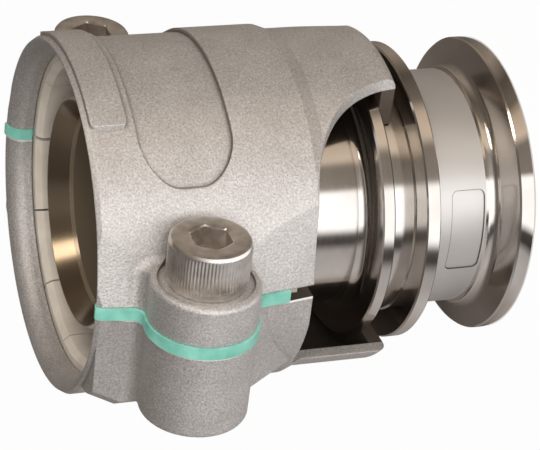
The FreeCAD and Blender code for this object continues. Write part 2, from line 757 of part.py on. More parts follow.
def sleeve_half(name, side):
    """Half of the moulded resin sleeve that grips the hose, with a lead-in and slits from the mouth."""
    body = doc.addObject("PartDesign::Body", name)
    section = outline(body, f"{name}_section", "XZ_Plane", [
        (at("sleeve_inner_radius"), at("pocket_bottom")),
        (at("sleeve_outer_radius"), at("pocket_bottom")),
        (at("sleeve_outer_radius"), at("sleeve_top")),
        (at("sleeve_inner_radius", "sleeve_bevel"), at("sleeve_top")),
        (at("sleeve_inner_radius"), at("sleeve_top", "-sleeve_bevel")),
    ])
    turned(body, f"{name}_turned", "PartDesign::Revolution", section, 180.0, side < 0)
    split_pocket(body, name, side, "sleeve_half_gap")
    blades = []
    slits = 5
    for number in range(1, slits + 1):
        blade = doc.addObject("Part::Box", f"{name}_blade_{number}")
        blade.setExpression("Length", at("barrel_radius")[1])
        blade.setExpression("Width", at("slit_width")[1])
        blade.setExpression("Height", at("pocket_top", "-pocket_bottom")[1])
        turn = Rotation(Vector(0, 0, 1), side * 180.0 * number / (slits + 1))
        blade.Placement = Placement(Vector(0, 0, 0), turn)
        # each blade is set back by half its width, so that its middle stands on that angle
        across = turn.multVec(Vector(0, -0.5, 0))
        blade.setExpression("Placement.Base.x", f"{across.x:.6f} * Sizes.slit_width")
        blade.setExpression("Placement.Base.y", f"{across.y:.6f} * Sizes.slit_width")
        blade.setExpression("Placement.Base.z", at("pocket_bottom", "slit_foot")[1])
        blades.append(blade)
    comb = doc.addObject("Part::Compound", f"{name}_comb")
    comb.Links = blades
    return joined("Part::Cut", f"{name}_slit", body, comb)


sleeve_front = sleeve_half("sleeve_front_half", -1)
sleeve_back = sleeve_half("sleeve_back_half", 1)


def spacer(name, side):
    """Soft sheet between the casing halves, its outline a little proud of the castings."""
    body = doc.addObject("PartDesign::Body", name)
    wall, wall_text = at("side_wall", "sheet_proud")
    ring, ring_text = at("boss_radius", "sheet_proud")
    valley, valley_text = at("boss_root_round", "-sheet_proud")
    screw_x, screw_x_text = at("screw_x")
    screw_z, screw_z_text = at("screw_z")
    reach, reach_text = boss_reach(("sheet_proud",))
    share = ring / (ring + valley)
    share_text = f"({ring_text}) / ({ring_text} + {valley_text})"
    touch_x = screw_x + share * (wall + valley - screw_x)
    touch_x_text = f"{screw_x_text} + {share_text} * ({wall_text} + {valley_text} - ({screw_x_text}))"
    touch_z = share * reach
    touch_z_text = f"{share_text} * {reach_text}"
    path = [
        (at("pocket_radius"), at("sheet_bottom")),
        (at("pocket_radius"), at("pocket_top", "sheet_inside")),
        (at("sheet_throat_radius"), at("pocket_top", "sheet_inside")),
        (at("sheet_throat_radius"), at("bell_start")),
        (at("mouth_crest_radius"), at("mouth", "sheet_inside")),
        (at("barrel_radius"), at("mouth", "sheet_inside")),
        (at("side_wall", "sheet_proud", "-cheek_top_sink"), at("side_top")),
        ((wall, wall_text), from_screw(1, "boss_side_gap")),
        ((wall, wall_text), (screw_z + reach, f"{screw_z_text} + {reach_text}")),
        ((touch_x, touch_x_text), (screw_z + touch_z, f"{screw_z_text} + {touch_z_text}")),
        ((screw_x + ring, f"{screw_x_text} + {ring_text}"), at("screw_z")),
        ((touch_x, touch_x_text), (screw_z - touch_z, f"{screw_z_text} - {touch_z_text}")),
        ((wall, wall_text), (screw_z - reach, f"{screw_z_text} - {reach_text}")),
        ((wall, wall_text), from_screw(-1, "boss_side_gap")),
        (at("side_wall", "sheet_proud", "-side_rise"), at("sheet_bottom")),
    ]
    corners = [((side * x[0], f"{side} * ({x[1]})"), y) for x, y in path]
    bell, bell_text = at("bell_radius", "sheet_proud")
    arcs = {
        3: (bell, side, bell_text),
        8: (valley, -side, valley_text),
        9: (ring, side, ring_text),
        10: (ring, side, ring_text),
        11: (valley, -side, valley_text),
    }
    plan = outline(body, f"{name}_plan", "XZ_Plane", corners, arcs=arcs)
    pushed(body, f"{name}_sheet", "PartDesign::Pad", plan, at("split_half_gap", "split_half_gap"), midplane=True)
    hole = circles(body, f"{name}_hole_circle", "XZ_Plane", [(at("screw_x", sign=side), at("screw_z"))],
                   at("sheet_hole_radius"))
    pushed(body, f"{name}_hole", "PartDesign::Pocket", hole, at("screw_length"), midplane=True)
    return body


spacer_left = spacer("spacer_left_sheet", -1)
spacer_right = spacer("spacer_right_sheet", 1)


def cap_screw(name, side):
    """M8 x 20 socket head cap screw, seated on the front boss."""
    body = doc.addObject("PartDesign::Body", name)
    place = [(at("screw_x", sign=side), at("screw_z"))]
    head = circles(body, f"{name}_head_circle", "XZ_Plane", place, at("head_radius"), lift=at("boss_seat"))
    pushed(body, f"{name}_head", "PartDesign::Pad", head, at("head_height"))
    shank = circles(body, f"{name}_shank_circle", "XZ_Plane", place, at("screw_radius"), lift=at("boss_seat"))
    pushed(body, f"{name}_shank", "PartDesign::Pad", shank, at("screw_length"), reverse=True)
    x, x_text = at("screw_x", sign=side)
    z, z_text = at("screw_z")
    half = sizes["hex_across_flats"] / 2
    point = sizes["hex_across_flats"] / 3 ** 0.5
    half_text = "Sizes.hex_across_flats / 2"
    point_text = "Sizes.hex_across_flats / sqrt(3)"
    hexagon = []
    for across, along in ((0, 1), (-1, 0.5), (-1, -0.5), (0, -1), (1, -0.5), (1, 0.5)):
        hexagon.append(((x + across * half, f"{x_text} + {across} * {half_text}"),
                        (z + along * point, f"{z_text} + {along} * {point_text}")))
    socket = outline(body, f"{name}_hexagon", "XZ_Plane", hexagon, lift=at("head_top"))
    socket = pushed(body, f"{name}_socket", "PartDesign::Pocket", socket, at("hex_depth"))
    tip_y = millimetres("screw_length", "-boss_seat")
    top_y = -millimetres("head_top")

    def bevel_edge(edge):
        curve = edge.Curve
        if not isinstance(curve, Part.Circle):
            return False
        at_top = abs(curve.Radius - sizes["head_radius"]) < 0.02 and abs(curve.Center.y - top_y) < 0.02
        at_tip = abs(curve.Radius - sizes["screw_radius"]) < 0.02 and abs(curve.Center.y - tip_y) < 0.02
        return at_top or at_tip
    bevel = body.newObject("PartDesign::Chamfer", f"{name}_bevels")
    bevel.Base = (socket, edges_where(socket, bevel_edge))
    bevel.Size = sizes["head_bevel"]
    bevel.setExpression("Size", "Sizes.head_bevel")
    doc.recompute()
    return body


screw_left = cap_screw("screw_left_m8", -1)
screw_right = cap_screw("screw_right_m8", 1)

# Nodes, one file each
nodes = {
    "nipple": nipple_node,
    "casing_front": front_node,
    "casing_back": back_node,
    "sleeve_front": sleeve_front,
    "sleeve_back": sleeve_back,
    "spacer_left": spacer_left,
    "spacer_right": spacer_right,
    "screw_left": screw_left,
    "screw_right": screw_right,
}
for node_name, item in nodes.items():
    item.Label = node_name
doc.recompute()

faults = []
for item in doc.Objects:
    if "Invalid" in item.State or "Error" in item.State:
        faults.append(f"{item.Name} did not build")
for node_name, item in nodes.items():
    shape = item.Shape
    if shape.isNull() or not shape.isValid() or len(shape.Solids) != 1:
        faults.append(f"{node_name} is not one sound solid")
if faults:
    raise RuntimeError("; ".join(faults))
for node_name, item in nodes.items():
    item.Shape.exportStep(f"parts/{node_name}.step")
    print(node_name, round(item.Shape.Volume), "mm3")
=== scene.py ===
import math

import bpy
import numpy as np
from mathutils import Matrix, Vector


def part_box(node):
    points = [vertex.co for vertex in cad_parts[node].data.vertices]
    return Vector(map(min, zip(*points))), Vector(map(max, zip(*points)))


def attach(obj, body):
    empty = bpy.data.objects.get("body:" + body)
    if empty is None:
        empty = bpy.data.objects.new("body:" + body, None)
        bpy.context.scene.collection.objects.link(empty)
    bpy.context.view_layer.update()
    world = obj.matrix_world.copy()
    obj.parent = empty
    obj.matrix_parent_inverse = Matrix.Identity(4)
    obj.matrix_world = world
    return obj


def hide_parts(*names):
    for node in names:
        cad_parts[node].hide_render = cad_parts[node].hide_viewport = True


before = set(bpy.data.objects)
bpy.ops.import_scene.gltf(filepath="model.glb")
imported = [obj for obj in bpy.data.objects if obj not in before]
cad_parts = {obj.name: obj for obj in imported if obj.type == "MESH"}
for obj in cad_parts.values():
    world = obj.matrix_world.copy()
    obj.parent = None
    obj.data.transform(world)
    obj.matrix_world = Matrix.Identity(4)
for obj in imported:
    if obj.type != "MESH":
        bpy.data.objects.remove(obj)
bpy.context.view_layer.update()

# Camera and studio
# The photograph is a product shot with a long lens, the coupling turned so that its hose mouth is on the left.
# White floor and surround, two large soft lamps on the camera's side, and cards that the polished steel mirrors.
MM = 0.001
LENS_MM = 162.2
NEAREST_SHOWN = 10 * MM
EYE = Vector((-0.3270, -0.2073, 0.1744))
AIM = Vector((-0.0031, 0.0035, 0.0381))
IMAGE_UP = Vector((0.520, -0.851, -0.079))

camera_data = bpy.data.cameras.new("camera")
camera_data.lens = LENS_MM
camera_data.clip_start = NEAREST_SHOWN
camera = bpy.data.objects.new("camera", camera_data)
bpy.context.scene.collection.objects.link(camera)
back = (EYE - AIM).normalized()
right = IMAGE_UP.cross(back).normalized()
up = back.cross(right)
camera.matrix_world = Matrix.Translation(EYE) @ Matrix((right, up, back)).transposed().to_4x4()
bpy.context.scene.camera = camera
bpy.context.scene.view_settings.view_transform = "Standard"


def linear(code):
    """The linear colour of an sRGB hex code: each channel by the sRGB curve, with an alpha of 1."""
    channels = [int(code[start:start + 2], 16) / 255 for start in (1, 3, 5)]
    curve = [c / 12.92 if c <= 0.04045 else ((c + 0.055) / 1.055) ** 2.4 for c in channels]
    return (*curve, 1.0)


def add_node(tree, kind, inputs=None, **settings):
    """Add a node with its settings. An input is a value for its socket, or another node's output to link to it."""
    made = tree.nodes.new(kind)
    for name, value in settings.items():
        setattr(made, name, value)
    for key, value in (inputs or {}).items():
        if isinstance(value, bpy.types.NodeSocket):
            tree.links.new(value, made.inputs[key])
        else:
            made.inputs[key].default_value = value
    return made


def shown_white(tree, seen_as_lit):
    """A factor of 1, less the share that keeps its shading, for the camera, glossy and transmission rays."""
    path = add_node(tree, "ShaderNodeLightPath")
    shiny = add_node(tree, "ShaderNodeMath", {0: path.outputs["Is Glossy Ray"],
                                              1: path.outputs["Is Transmission Ray"]}, operation="MAXIMUM")
    seen = add_node(tree, "ShaderNodeMath", {0: path.outputs["Is Camera Ray"], 1: shiny.outputs[0]},
                    operation="MAXIMUM")
    return add_node(tree, "ShaderNodeMath", {0: seen.outputs[0], 1: 1 - seen_as_lit}, operation="MULTIPLY")


# White surround: soft light from all round, plain white to the camera and in reflections. It is dimmer overhead and
# behind the table, as in a studio with its lamps round the camera.
AMBIENT = 0.9
BEHIND_SHARE = 0.42
OVERHEAD_SHARE = 0.48
world = bpy.data.worlds.new("surround")
world.use_nodes = True
bpy.context.scene.world = world
tree = world.node_tree
tree.nodes.clear()
way = add_node(tree, "ShaderNodeTexCoord")
axes = add_node(tree, "ShaderNodeSeparateXYZ", {0: way.outputs["Generated"]})
behind = add_node(tree, "ShaderNodeMapRange", {"Value": axes.outputs["Y"], "From Min": -0.3, "From Max": 0.8,
                                               "To Min": AMBIENT, "To Max": BEHIND_SHARE * AMBIENT})
overhead = add_node(tree, "ShaderNodeMapRange", {"Value": axes.outputs["Z"], "From Min": 0.0, "From Max": 0.8,
                                                 "To Min": 1.0, "To Max": OVERHEAD_SHARE})
level = add_node(tree, "ShaderNodeMath", {0: behind.outputs[0], 1: overhead.outputs[0]}, operation="MULTIPLY")
ambient = add_node(tree, "ShaderNodeBackground", {"Color": linear("#fbf8f4"), "Strength": level.outputs[0]})
white = add_node(tree, "ShaderNodeBackground", {"Color": (1, 1, 1, 1), "Strength": 1.0})
mixed = add_node(tree, "ShaderNodeMixShader", {0: shown_white(tree, 0.0).outputs[0], 1: ambient.outputs[0],
                                               2: white.outputs[0]})
add_node(tree, "ShaderNodeOutputWorld", {"Surface": mixed.outputs[0]})

# Floor: white board, with part of its own shading left in so that the object's shadow stays
FLOOR_HALF = 3.0
FLOOR_LEVEL = -0.1 * MM
FLOOR_SHADING = 0.035


def blank_material(name):
    """A new material and its empty node tree."""
    made = bpy.data.materials.new(name)
    made.use_nodes = True
    made.node_tree.nodes.clear()
    return made, made.node_tree


floor_mesh = bpy.data.meshes.new("floor")
floor_mesh.from_pydata([(x * FLOOR_HALF, y * FLOOR_HALF, FLOOR_LEVEL)
                        for x, y in ((-1, -1), (1, -1), (1, 1), (-1, 1))], [], [(0, 1, 2, 3)])
floor = bpy.data.objects.new("floor", floor_mesh)
bpy.context.scene.collection.objects.link(floor)
board, tree = blank_material("white_board")
paper = add_node(tree, "ShaderNodeBsdfDiffuse", {"Color": linear("#f4f3f1")})
glow = add_node(tree, "ShaderNodeEmission", {"Color": (1, 1, 1, 1), "Strength": 1.0})
mixed = add_node(tree, "ShaderNodeMixShader", {0: shown_white(tree, FLOOR_SHADING).outputs[0],
                                               1: paper.outputs[0], 2: glow.outputs[0]})
add_node(tree, "ShaderNodeOutputMaterial", {"Surface": mixed.outputs[0]})
floor_mesh.materials.append(board)

# Lamps: a large soft one beside the camera, and a weaker, warmer one towards the upper side of the picture
LAMPS_AIM = Vector((0, 0, 40 * MM))


def soft_lamp(name, azimuth, elevation, distance, size, power, colour):
    """A square area lamp at that compass angle and height angle from the coupling's middle, aimed at it."""
    data = bpy.data.lights.new(name, "AREA")
    data.size = size
    data.energy = power
    data.color = linear(colour)[:3]
    lamp = bpy.data.objects.new(name, data)
    bpy.context.scene.collection.objects.link(lamp)
    turn, lift = math.radians(azimuth), math.radians(elevation)
    way = Vector((math.cos(turn) * math.cos(lift), math.sin(turn) * math.cos(lift), math.sin(lift)))
    facing_in = way.to_track_quat("Z", "Y").to_matrix().to_4x4()
    lamp.matrix_world = Matrix.Translation(LAMPS_AIM + way * distance) @ facing_in


soft_lamp("key_lamp", azimuth=209, elevation=7, distance=0.9, size=0.6, power=7.6, colour="#fffefc")
soft_lamp("top_lamp", azimuth=262, elevation=20, distance=1.0, size=0.6, power=2.6, colour="#fff3e4")

# Cards: a ring of light and dark strips from floor to ceiling round the table, seen only in reflections.
# Each strip's stop is a compass angle in degrees, its shade and its strength.
CARD_INNER = 0.0256
CARD_OUTER = 0.30
CARD_HEIGHT = 0.55
CARD_CORNER = 0.08
CARD_LIFT = 0.2 * MM
CEILING_HOLE = 2 * MM
STRONGEST = 2.0
STRIPS = [
    (0, "#8a8078", 0.5), (22, "#8f857b", 0.65), (45, "#665e58", 0.4), (70, "#9a918d", 0.8),
    (100, "#b9b2ae", 0.95), (126, "#dbd7d6", 0.95), (154, "#d2cecd", 0.8), (162, "#5c5553", 0.5),
    (170, "#6d6664", 0.6), (177, "#ffffff", 1.7), (211, "#ffffff", 1.7), (215, "#a89d92", 0.8),
    (236, "#a89d92", 0.7), (243, "#f1dfca", 1.0), (258, "#e8d4bd", 0.9), (268, "#94887a", 0.7),
    (290, "#7e7368", 0.6), (316, "#b3a595", 0.85), (332, "#a3978a", 0.75), (359.9, "#8a8078", 0.5),
]


def card_ring(name, turns, rises):
    """A surface turned about the hose axis: flat just above the floor, up a round corner to a wall, then a ceiling.

    The first parameter is the compass angle. The second runs along the section, whose two corners are quarter
    circles: radius and height change by the sine and by 1 less the cosine of the bend.
    """
    bend = np.linspace(0, math.pi / 2, rises)
    wall_foot = CARD_OUTER - CARD_CORNER
    radius = np.concatenate([[CARD_INNER], wall_foot + CARD_CORNER * np.sin(bend),
                             wall_foot + CARD_CORNER * np.cos(bend), [CEILING_HOLE]])
    height = np.concatenate([[CARD_LIFT], CARD_LIFT + CARD_CORNER * (1 - np.cos(bend)),
                             CARD_HEIGHT - CARD_CORNER + CARD_CORNER * np.sin(bend), [CARD_HEIGHT]])
    angle = np.linspace(0, 2 * math.pi, turns, endpoint=False)
    points = np.stack([np.cos(angle)[:, None] * radius, np.sin(angle)[:, None] * radius,
                       np.ones(turns)[:, None] * height], -1)
    number = np.arange(turns * len(radius)).reshape(turns, len(radius))
    after = np.roll(number, -1, 0)
    faces = np.stack([number[:, :-1], after[:, :-1], after[:, 1:], number[:, 1:]], -1).reshape(-1, 4)
    mesh = bpy.data.meshes.new(name)
    mesh.from_pydata(points.reshape(-1, 3).tolist(), [], faces.tolist())
    return mesh


def show_in_mirrors_only(name, mesh, board):
    """Put a card on stage, hidden from the camera and from all light but what polished steel mirrors."""
    card = bpy.data.objects.new(name, mesh)
    bpy.context.scene.collection.objects.link(card)
    for ray_kind in ("camera", "diffuse", "transmission", "volume_scatter", "shadow"):
        setattr(card, f"visible_{ray_kind}", False)
    mesh.materials.append(board)


def ramp_stops(node, stops):
    """Give a colour ramp its stops, each a place from 0 to 1 with a linear colour."""
    ramp = node.color_ramp
    while len(ramp.elements) > 1:
        ramp.elements.remove(ramp.elements[-1])
    ramp.elements[0].position, ramp.elements[0].color = stops[0]
    for place, colour in stops[1:]:
        ramp.elements.new(place).color = colour


board, tree = blank_material("card_strips")
place = add_node(tree, "ShaderNodeTexCoord")
# the radial gradient starts half a turn from +X, so the pattern is turned by that much
half_turn = add_node(tree, "ShaderNodeMapping", {"Vector": place.outputs["Object"], "Rotation": (0, 0, math.pi)})
compass = add_node(tree, "ShaderNodeTexGradient", {"Vector": half_turn.outputs[0]}, gradient_type="RADIAL")
# near the ferrule the strips fan out from the camera's side, because its rim mirrors them from close by
CAMERA_TURN = 213 / 360
NEAR_RIM_MM = (34.0, 46.0)
RIM_SPREAD = 1.76
spot = add_node(tree, "ShaderNodeSeparateXYZ", {0: place.outputs["Object"]})
flat = add_node(tree, "ShaderNodeCombineXYZ", {0: spot.outputs["X"], 1: spot.outputs["Y"]})
out = add_node(tree, "ShaderNodeVectorMath", {0: flat.outputs[0]}, operation="LENGTH")
spread = add_node(tree, "ShaderNodeMapRange", {"Value": out.outputs["Value"], "From Min": NEAR_RIM_MM[0] * MM,
                                               "From Max": NEAR_RIM_MM[1] * MM, "To Min": RIM_SPREAD, "To Max": 1.0})
turn = add_node(tree, "ShaderNodeMath", {0: compass.outputs["Fac"], 1: CAMERA_TURN}, operation="SUBTRACT")
spread_turn = add_node(tree, "ShaderNodeMath", {0: turn.outputs[0], 1: spread.outputs[0], 2: CAMERA_TURN},
                       operation="MULTIPLY_ADD")
whole_turn = add_node(tree, "ShaderNodeMath", {0: spread_turn.outputs[0]}, operation="FRACT")
shade = add_node(tree, "ShaderNodeValToRGB", {"Fac": whole_turn.outputs[0]})
ramp_stops(shade, [(angle / 360, (*[channel * strength / STRONGEST for channel in linear(colour)[:3]], 1))
                   for angle, colour, strength in STRIPS])
# above the strips the room is a dim brown, with a trace of them left
STRIP_TOP = (0.10, 0.22)
ROOM_SHARE = 0.94
ROOM_STRENGTH = 0.5
room = add_node(tree, "ShaderNodeMapRange", {"Value": spot.outputs["Z"], "From Min": STRIP_TOP[0],
                                             "From Max": STRIP_TOP[1], "To Max": ROOM_SHARE})
dim = [channel * ROOM_STRENGTH / STRONGEST for channel in linear("#8a8078")[:3]]
seen = add_node(tree, "ShaderNodeMix", {"Factor": room.outputs[0], "A": shade.outputs["Color"], "B": (*dim, 1)},
                data_type="RGBA")
glow = add_node(tree, "ShaderNodeEmission", {"Color": seen.outputs["Result"], "Strength": STRONGEST})
add_node(tree, "ShaderNodeOutputMaterial", {"Surface": glow.outputs[0]})
show_in_mirrors_only("reflector_cards", card_ring("reflector_cards", turns=96, rises=8), board)

# Warm card: a small cream panel on the wall, above the strips, that the polished bore picks up
WARM_TURNS = (246, 266)
WARM_HEIGHTS = (0.17, 0.30)
WARM_OUT = 0.97 * CARD_OUTER
WARM_STRENGTH = 6.0
warm_corners = [(WARM_TURNS[turn], WARM_HEIGHTS[height]) for turn, height in ((0, 0), (1, 0), (1, 1), (0, 1))]
warm_mesh = bpy.data.meshes.new("warm_card")
warm_mesh.from_pydata([(WARM_OUT * math.cos(math.radians(turn)), WARM_OUT * math.sin(math.radians(turn)), height)
                       for turn, height in warm_corners], [], [(0, 1, 2, 3)])
board, tree = blank_material("warm_board")
glow = add_node(tree, "ShaderNodeEmission", {"Color": linear("#fff4e4"), "Strength": WARM_STRENGTH})
add_node(tree, "ShaderNodeOutputMaterial", {"Surface": glow.outputs[0]})
show_in_mirrors_only("warm_card", warm_mesh, board)

# Nipple
# One turned piece of stainless steel: ferrule, neck, two collars and the hose shank. The collars, ferrule and
# shank are polished on the lathe and mirror the room in streaks; the neck is left satin, round a blank marking field.


def start_material(name, **settings):
    """A new node material with one principled shader. Settings are its plain socket values."""
    made, tree = blank_material(name)
    shader = add_node(tree, "ShaderNodeBsdfPrincipled", {key.replace("_", " "): value
                                                         for key, value in settings.items()})
    add_node(tree, "ShaderNodeOutputMaterial", {"Surface": shader.outputs[0]})
    return made, tree, shader


def dress(node, made):
    """Give a CAD node one material throughout."""
    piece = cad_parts[node]
    if not piece.data.materials:
        piece.data.materials.append(made)
    for number in range(len(piece.data.materials)):
        piece.data.materials[number] = made


# Turned stainless steel: a bright mirror that is stretched into rings by the tool marks
steel, tree, shader = start_material("turned_stainless_steel")
place = add_node(tree, "ShaderNodeTexCoord")
axes = add_node(tree, "ShaderNodeSeparateXYZ", {0: place.outputs["Object"]})
x_squared = add_node(tree, "ShaderNodeMath", {0: axes.outputs["X"], 1: axes.outputs["X"]}, operation="MULTIPLY")
r_squared = add_node(tree, "ShaderNodeMath", {0: axes.outputs["Y"], 1: axes.outputs["Y"], 2: x_squared.outputs[0]},
                     operation="MULTIPLY_ADD")
radius = add_node(tree, "ShaderNodeMath", {0: r_squared.outputs[0]}, operation="SQRT")
section = add_node(tree, "ShaderNodeCombineXYZ", {0: radius.outputs[0], 1: axes.outputs["Z"]})
TOOL_MARK_MM = 0.22
TOOL_MARK_DEPTH_MM = 0.004
SMEAR_MM = 9.0
marks = add_node(tree, "ShaderNodeTexNoise", {"Vector": section.outputs[0], "Scale": 1 / (TOOL_MARK_MM * MM),
                                              "Detail": 3.0, "Roughness": 0.6})
smear = add_node(tree, "ShaderNodeTexNoise", {"Vector": place.outputs["Object"], "Scale": 1 / (SMEAR_MM * MM),
                                              "Detail": 3.0})
# satin part of the neck, between the polished fillets
NECK_SATIN_MM = (6.6, 15.2)
NECK_SKIN_MM = 20.6
NECK_ROUGH = 0.5
NECK_GROUND_MM = 0.3
NECK_GROUND_DEPTH_MM = 0.02
above = add_node(tree, "ShaderNodeMath", {0: axes.outputs["Z"], 1: NECK_SATIN_MM[0] * MM}, operation="GREATER_THAN")
below = add_node(tree, "ShaderNodeMath", {0: axes.outputs["Z"], 1: NECK_SATIN_MM[1] * MM}, operation="LESS_THAN")
skin = add_node(tree, "ShaderNodeMath", {0: radius.outputs[0], 1: NECK_SKIN_MM * MM}, operation="LESS_THAN")
band = add_node(tree, "ShaderNodeMath", {0: above.outputs[0], 1: below.outputs[0]}, operation="MULTIPLY")
satin = add_node(tree, "ShaderNodeMath", {0: band.outputs[0], 1: skin.outputs[0]}, operation="MULTIPLY")
polish = add_node(tree, "ShaderNodeMapRange", {"Value": marks.outputs["Fac"], "To Min": 0.09, "To Max": 0.2})
tint = add_node(tree, "ShaderNodeValToRGB", {"Fac": smear.outputs["Fac"]})
ramp_stops(tint, [(0.3, linear("#c9c2bc")), (0.7, linear("#d9d5d0"))])
# a thin dark line painted round the blank marking field, by the distance to its rounded rectangle on the side at -X
FIELD_MIDDLE_MM = (-2.5, 9.85)
FIELD_HALF_MM = (7.0, 2.9)
FIELD_CORNER_MM = 1.0
OUTLINE_HALF_MM = 0.09
on_side = add_node(tree, "ShaderNodeCombineXYZ", {0: axes.outputs["Y"], 1: axes.outputs["Z"]})
field_middle = (FIELD_MIDDLE_MM[0] * MM, FIELD_MIDDLE_MM[1] * MM, 0)
from_middle = add_node(tree, "ShaderNodeVectorMath", {0: on_side.outputs[0], 1: field_middle}, operation="SUBTRACT")
one_corner = add_node(tree, "ShaderNodeVectorMath", {0: from_middle.outputs[0]}, operation="ABSOLUTE")
straight_half = ((FIELD_HALF_MM[0] - FIELD_CORNER_MM) * MM, (FIELD_HALF_MM[1] - FIELD_CORNER_MM) * MM, 0)
past_sides = add_node(tree, "ShaderNodeVectorMath", {0: one_corner.outputs[0], 1: straight_half},
                      operation="SUBTRACT")
outside = add_node(tree, "ShaderNodeVectorMath", {0: past_sides.outputs[0], 1: (0, 0, 0)}, operation="MAXIMUM")
reach = add_node(tree, "ShaderNodeVectorMath", {0: outside.outputs[0]}, operation="LENGTH")
from_line = add_node(tree, "ShaderNodeMath", {0: reach.outputs["Value"], 1: FIELD_CORNER_MM * MM,
                                              2: OUTLINE_HALF_MM * MM}, operation="COMPARE")
near_side = add_node(tree, "ShaderNodeMath", {0: axes.outputs["X"], 1: 0.0}, operation="LESS_THAN")
outline_side = add_node(tree, "ShaderNodeMath", {0: from_line.outputs[0], 1: near_side.outputs[0]},
                       operation="MULTIPLY")
field_outline = add_node(tree, "ShaderNodeMath", {0: outline_side.outputs[0], 1: satin.outputs[0]}, operation="MULTIPLY")
# the bore is browner and duller than the outside; its mask follows the flare at the shank's end
BORE_SKIN_MM = 16.9
FLARE_FOOT_MM = 67.2
FLARE_SLOPE = 0.475
BORE_ROUGH = 0.2
up_flare = add_node(tree, "ShaderNodeMath", {0: axes.outputs["Z"], 1: FLARE_FOOT_MM * MM}, operation="SUBTRACT")
flare = add_node(tree, "ShaderNodeMath", {0: up_flare.outputs[0], 1: 0.0}, operation="MAXIMUM")
flare_out = add_node(tree, "ShaderNodeMath", {0: flare.outputs[0], 1: FLARE_SLOPE, 2: BORE_SKIN_MM * MM},
                     operation="MULTIPLY_ADD")
bore = add_node(tree, "ShaderNodeMath", {0: radius.outputs[0], 1: flare_out.outputs[0]}, operation="LESS_THAN")
on_neck = add_node(tree, "ShaderNodeMix", {"Factor": satin.outputs[0], "A": tint.outputs["Color"],
                                           "B": linear("#c9c6c4")}, data_type="RGBA")
in_bore = add_node(tree, "ShaderNodeMix", {"Factor": bore.outputs[0], "A": on_neck.outputs["Result"],
                                           "B": linear("#91826f")}, data_type="RGBA")
# the thin dark line round the marking field goes into the colour here
skin_tint = add_node(tree, "ShaderNodeMix", {"Factor": field_outline.outputs[0], "A": in_bore.outputs["Result"],
                                             "B": linear("#7a7370")}, data_type="RGBA")
satin_rough = add_node(tree, "ShaderNodeMix", {"Factor": satin.outputs[0], "A": polish.outputs[0],
                                               "B": NECK_ROUGH})
rough = add_node(tree, "ShaderNodeMix", {"Factor": bore.outputs[0], "A": satin_rough.outputs[0],
                                         "B": BORE_ROUGH})
# the satin neck is a little less of a mirror, and deep in the bore the steel is duller still
DEEP_SKIN_MM = 16.8
NECK_METAL = 0.85
DEEP_METAL = 0.55
deep = add_node(tree, "ShaderNodeMath", {0: radius.outputs[0], 1: DEEP_SKIN_MM * MM}, operation="LESS_THAN")
neck_metal = add_node(tree, "ShaderNodeMix", {"Factor": satin.outputs[0], "A": 1.0, "B": NECK_METAL})
metal = add_node(tree, "ShaderNodeMix", {"Factor": deep.outputs[0], "A": neck_metal.outputs[0], "B": DEEP_METAL})
ground = add_node(tree, "ShaderNodeTexNoise", {"Vector": place.outputs["Object"], "Scale": 1 / (NECK_GROUND_MM * MM),
                                               "Detail": 2.0})
turned_bump = add_node(tree, "ShaderNodeBump", {"Height": marks.outputs["Fac"], "Strength": 0.25,
                                                "Distance": TOOL_MARK_DEPTH_MM * MM})
satin_depth = add_node(tree, "ShaderNodeMath", {0: satin.outputs[0], 1: 0.35}, operation="MULTIPLY")
ground_bump = add_node(tree, "ShaderNodeBump", {"Height": ground.outputs["Fac"], "Strength": satin_depth.outputs[0],
                                                "Distance": NECK_GROUND_DEPTH_MM * MM,
                                                "Normal": turned_bump.outputs[0]})
tree.links.new(skin_tint.outputs["Result"], shader.inputs["Base Color"])
tree.links.new(metal.outputs[0], shader.inputs["Metallic"])
tree.links.new(rough.outputs[0], shader.inputs["Roughness"])
tree.links.new(ground_bump.outputs[0], shader.inputs["Normal"])
dress("nipple", steel)

# Casing halves
# Two investment castings in stainless steel, bead blasted: a speckled grey skin with a dull sheen, with a painted
# highlight along the back half's split edge, and painted shade in the roots, in the split and inside.
cast, tree, shader = start_material("blasted_cast_steel", Metallic=0.75)
place = add_node(tree, "ShaderNodeTexCoord")
# the blasted grain is drawn a little coarse, so that it shows
GRAIN_MM = 0.32
GRAIN_DEPTH_MM = 0.08
GRAIN_SHARE = 0.8
PATCH_MM = 7.0
grain = add_node(tree, "ShaderNodeTexNoise", {"Vector": place.outputs["Object"], "Scale": 1 / (GRAIN_MM * MM),
                                              "Detail": 2.0, "Roughness": 0.55})
patches = add_node(tree, "ShaderNodeTexNoise", {"Vector": place.outputs["Object"], "Scale": 1 / (PATCH_MM * MM),
                                                "Detail": 3.0})
blended = add_node(tree, "ShaderNodeMix", {"Factor": GRAIN_SHARE, "A": patches.outputs["Fac"],
                                           "B": grain.outputs["Fac"]})
tint = add_node(tree, "ShaderNodeValToRGB", {"Fac": blended.outputs[0]})
ramp_stops(tint, [(0.3, linear("#a6a19f")), (0.5, linear("#bebab8")), (0.7, linear("#d6d3d2"))])
skin_bump = add_node(tree, "ShaderNodeBump", {"Height": grain.outputs["Fac"], "Strength": 1.0,
                                              "Distance": GRAIN_DEPTH_MM * MM})
